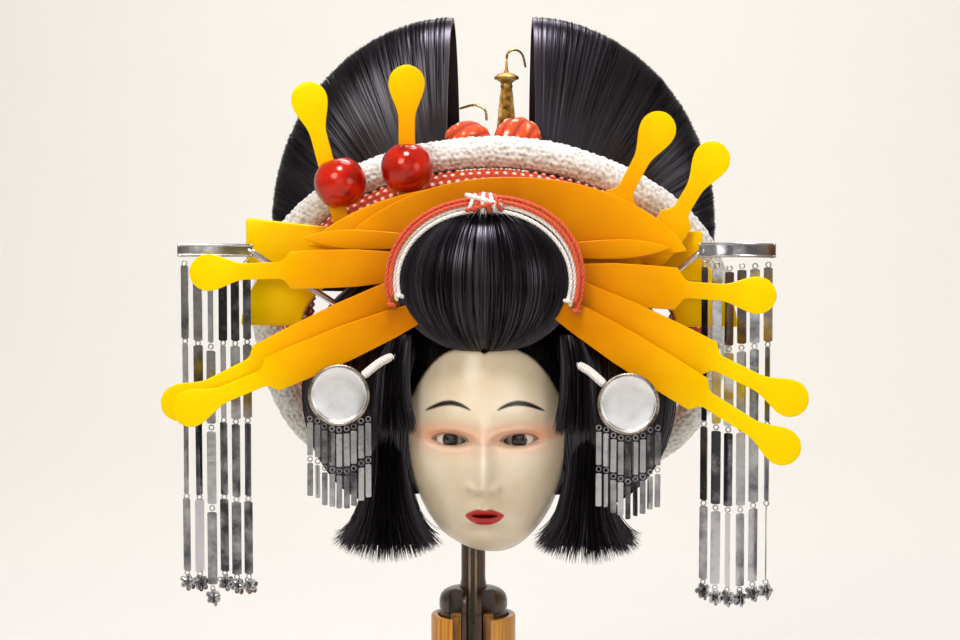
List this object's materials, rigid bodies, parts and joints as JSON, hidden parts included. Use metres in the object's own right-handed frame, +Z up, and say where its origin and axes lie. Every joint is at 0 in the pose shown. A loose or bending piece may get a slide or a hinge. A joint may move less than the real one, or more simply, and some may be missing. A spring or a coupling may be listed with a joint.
{
  "type": "puppet head on stand",
  "caption": "Carved theatre puppet head with a dressed courtesan wig, tortoiseshell combs and pins, silver fringes, throat rod and grip, in a split bamboo stand.",
  "frame": {"origin": "middle of the foot's underside", "axes": "+Z up along the grip, the face looks along -Y, +X to the viewer's right"},
  "size_m": [0.3499, 0.1786, 0.4547],
  "materials": {
    "lacquered_wood": "dark lacquer",
    "bamboo": "smoked, polished",
    "grip_wood": "hand-worn, oiled",
    "peg_wood": "plain",
    "string": "twisted",
    "gofun": "shell white, burnished",
    "head_wood": "carved",
    "eyeball": "polished",
    "hair": "oiled, combed",
    "crepe": "crinkled",
    "dapple": "tie-dyed",
    "cord": "twisted",
    "gold_thread": "metallic thread",
    "gold_wire": "drawn wire",
    "tortoiseshell": "polished, translucent",
    "coral": "polished",
    "silver": "beaten sheet"
  },
  "bodies": {
    "stand": {"stand_base": "lacquered_wood", "stand_tube": "bamboo"},
    "grip": {"grip_handle": "grip_wood", "throat_rod": "grip_wood", "nod_string": "string", "eye_string": "string"},
    "nod_toggle": {"nod_toggle": "peg_wood"},
    "eye_toggle": {"eye_toggle": "peg_wood"},
    "head": {"face_shell": "gofun", "head_back_shell": "head_wood", "nod_pin": "peg_wood", "crown_hair": "hair", "front_bun": "hair", "back_hair": "hair", "left_wing": "hair", "right_wing": "hair", "left_side_lock": "hair", "right_side_lock": "hair", "left_temple_tuft": "hair", "right_temple_tuft": "hair", "white_crepe_roll": "crepe", "red_dapple_roll": "dapple", "cord_knot": "cord", "left_cord_band": "cord", "right_cord_band": "cord", "left_red_knot": "dapple", "right_red_knot": "dapple", "tassel_hook": "gold_wire", "gold_drop_wire": "gold_wire", "comb_front": "tortoiseshell", "comb_middle": "tortoiseshell", "comb_back": "tortoiseshell", "square_bar": "tortoiseshell", "crescent_bar": "tortoiseshell", "left_pin_upper": "tortoiseshell", "left_pin_middle": "tortoiseshell", "left_pin_lower": "tortoiseshell", "right_pin_upper": "tortoiseshell", "right_pin_middle": "tortoiseshell", "right_pin_lower": "tortoiseshell", "left_ball_pin_outer": "tortoiseshell", "left_ball_pin_inner": "tortoiseshell", "right_tall_pin_inner": "tortoiseshell", "right_tall_pin_outer": "tortoiseshell", "left_leaf_pin": "tortoiseshell", "right_leaf_pin": "tortoiseshell", "outer_coral_ball": "coral", "inner_coral_ball": "coral", "left_disc_pin": "silver", "right_disc_pin": "silver", "left_fringe_pin": "silver", "right_fringe_pin": "silver"},
    "eyes": {"left_eye": "eyeball", "right_eye": "eyeball", "eye_axle": "peg_wood"},
    "left_fringe": {"left_fringe": "silver"},
    "right_fringe": {"right_fringe": "silver"},
    "left_disc_fringe": {"left_disc_fringe": "silver"},
    "right_disc_fringe": {"right_disc_fringe": "silver"},
    "tassel": {"gold_tassel": "gold_thread"}
  },
  "joints": [
    {"name": "lift_out", "type": "slide", "parent": "stand", "child": "grip", "axis": [0, 0, 1], "range_m": [0, 0.118]},
    {"name": "head_nod", "type": "hinge", "parent": "grip", "child": "head", "pos_m": [0, 0.004, 0.205], "axis": [1, 0, 0], "range_deg": [-12, 10]},
    {"name": "nod_toggle_slide", "type": "slide", "parent": "grip", "child": "nod_toggle", "axis": [0, 0, 1], "range_m": [-0.0065, 0.0075]},
    {"name": "eyes_close", "type": "hinge", "parent": "head", "child": "eyes", "pos_m": [0.008, -0.0304, 0.22209], "axis": [1, 0, 0], "range_deg": [0, 41]},
    {"name": "eye_toggle_slide", "type": "slide", "parent": "grip", "child": "eye_toggle", "axis": [0, 0, 1], "range_m": [-0.0108, 0.001]},
    {"name": "left_fringe_swing", "type": "hinge", "parent": "head", "child": "left_fringe", "pos_m": [-0.141, -0.014, 0.319], "axis": [1, 0, 0], "range_deg": [-8, 12]},
    {"name": "right_fringe_swing", "type": "hinge", "parent": "head", "child": "right_fringe", "pos_m": [0.144, -0.014, 0.319], "axis": [1, 0, 0], "range_deg": [-8, 12]},
    {"name": "left_disc_fringe_swing", "type": "hinge", "parent": "head", "child": "left_disc_fringe", "pos_m": [-0.0684, -0.058, 0.2316], "axis": [1, 0, 0], "range_deg": [-25, 10]},
    {"name": "right_disc_fringe_swing", "type": "hinge", "parent": "head", "child": "right_disc_fringe", "pos_m": [0.0844, -0.058, 0.2276], "axis": [1, 0, 0], "range_deg": [-25, 10]},
    {"name": "tassel_swing", "type": "hinge", "parent": "head", "child": "tassel", "pos_m": [0.016, 0.0709, 0.43], "axis": [1, 0, 0], "range_deg": [-15, 15]}
  ],
  "couplings": [
    {"joint": "nod_toggle_slide", "follows": "head_nod", "m_per_rad": -0.03},
    {"joint": "eye_toggle_slide", "follows": "eyes_close", "m_per_rad": -0.0145}
  ]
}
